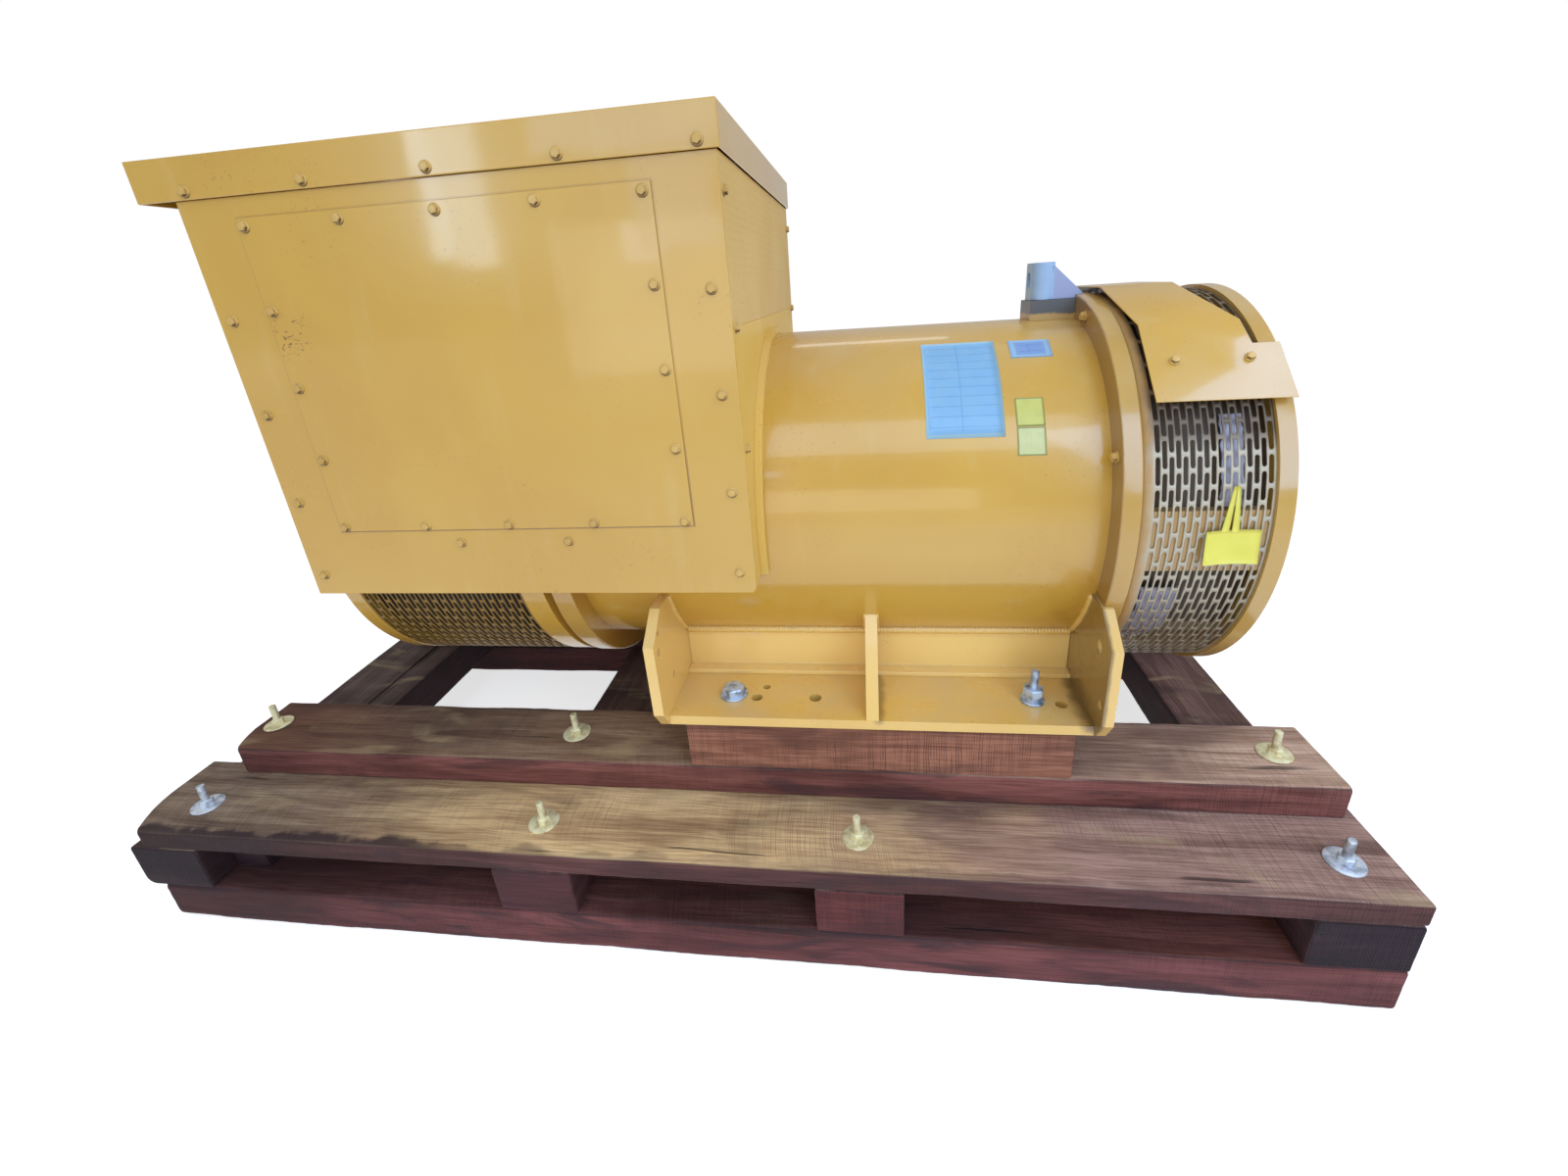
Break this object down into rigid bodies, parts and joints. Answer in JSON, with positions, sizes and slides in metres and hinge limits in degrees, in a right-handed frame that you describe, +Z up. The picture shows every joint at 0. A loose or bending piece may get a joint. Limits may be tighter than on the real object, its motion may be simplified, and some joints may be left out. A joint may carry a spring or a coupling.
{
  "type": "industrial generator end on a timber skid",
  "caption": "Single-bearing brushless generator end with a round frame, screened ends, drip hood and saddle terminal box, bolted by its feet to a hardwood shipping skid.",
  "frame": {"origin": "centre of the skid's footprint, on the floor under the bearers", "axes": "+X along the shaft towards the drive end, +Y across the machine, +Z up"},
  "size_m": [2.67, 1.24, 1.607],
  "materials": {
    "paint": "satin",
    "lug_paint": "satin",
    "timber": "rough sawn",
    "steel": "machined",
    "dark_steel": "matt"
  },
  "bodies": {
    "root": {"bearer_front": "timber", "bearer_rear": "timber", "cross_beam_1": "timber", "cross_beam_half": "timber", "cross_beam_2": "timber", "cross_beam_3": "timber", "cross_beam_4": "timber", "deck_plank_front": "timber", "deck_plank_rear": "timber", "inner_plank_front": "timber", "inner_plank_rear": "timber", "top_plank_front": "timber", "top_plank_rear": "timber", "foot_block_front": "timber", "foot_block_rear": "timber", "foot_plate_front": "paint", "foot_plate_rear": "paint", "foot_gussets_front": "paint", "foot_gussets_rear": "paint", "foot_web_front": "paint", "foot_web_rear": "paint", "stator_frame": "paint", "frame_flange_drive": "paint", "frame_flange_rear": "paint", "drive_bracket": "paint", "drive_end_ring": "paint", "drive_screen": "paint", "drip_hood": "paint", "rear_bracket": "paint", "rear_end_shield": "paint", "rear_screen": "paint", "rotor_shaft": "steel", "cooling_fan": "dark_steel", "coupling_discs": "steel", "lifting_lug": "lug_paint", "side_panel_front": "paint", "side_panel_rear": "paint", "end_wall_drive": "paint", "saddle_plate": "paint", "saddle_seal": "paint", "end_wall_rear": "paint", "box_floor": "paint", "box_lid": "paint", "access_cover_front": "paint", "access_cover_rear": "paint"}
  },
  "joints": []
}
